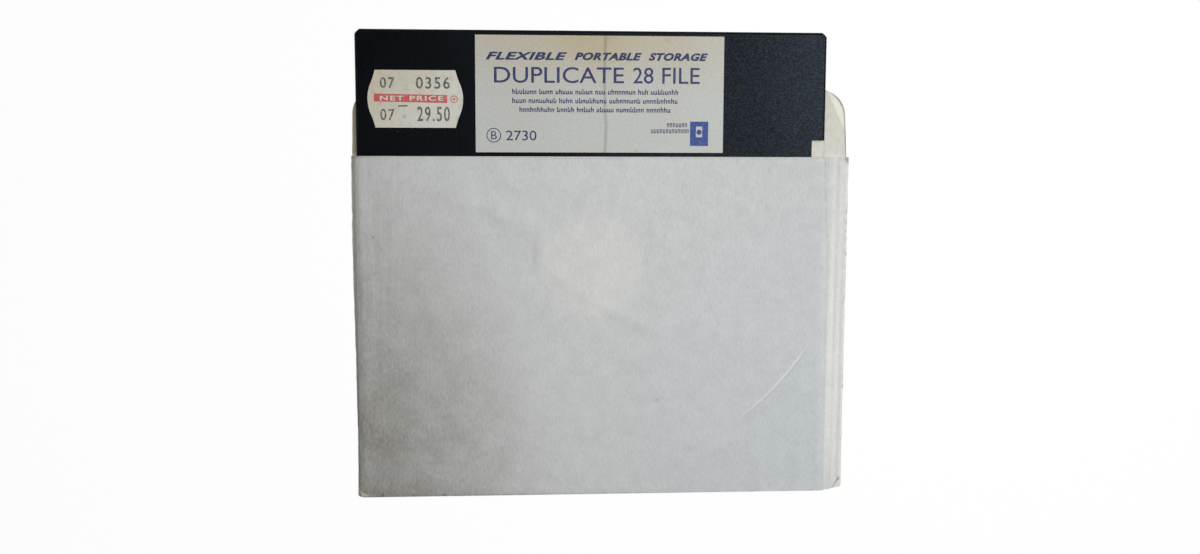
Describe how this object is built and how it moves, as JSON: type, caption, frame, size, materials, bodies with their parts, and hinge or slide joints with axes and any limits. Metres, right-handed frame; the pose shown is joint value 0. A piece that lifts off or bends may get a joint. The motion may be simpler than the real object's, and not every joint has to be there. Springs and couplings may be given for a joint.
{
  "type": "floppy disk",
  "caption": "Flexible magnetic disk in a square folded vinyl jacket with label and price sticker, standing out of a paper sleeve that slides off.",
  "frame": {"origin": "centre of the hub hole, at half the thickness of the magnetic disc", "axes": "+Z out of the face that carries the label, along the hub's axis; +Y towards the label edge; +X towards the edge with the write notch"},
  "size_m": [0.1426, 0.1339, 0.0023],
  "materials": {
    "jacket_vinyl": "fine-grained black vinyl",
    "liner_fabric": "pressed nonwoven fibre",
    "coated_film": "brown oxide coating, burnished",
    "ring_film": "satin film",
    "label_paper": "coated paper, yellowed",
    "sticker_paper": "uncoated paper, yellowed",
    "sleeve_paper": "thin white paper, slightly see-through"
  },
  "bodies": {
    "jacket_body": {"jacket": "jacket_vinyl", "front_liner": "liner_fabric", "rear_liner": "liner_fabric", "label": "label_paper", "price_sticker": "sticker_paper"},
    "disc_body": {"magnetic_disc": "coated_film", "hub_ring": "ring_film"},
    "sleeve_body": {"sleeve": "sleeve_paper"}
  },
  "joints": [
    {"name": "disc_spin", "type": "hinge", "parent": "jacket_body", "child": "disc_body", "pos_m": [0, 0, 0], "axis": [0, 0, 1], "continuous": true},
    {"name": "sleeve_slide", "type": "slide", "parent": "jacket_body", "child": "sleeve_body", "axis": [0, -1, 0], "range_m": [0, 0.125]}
  ]
}
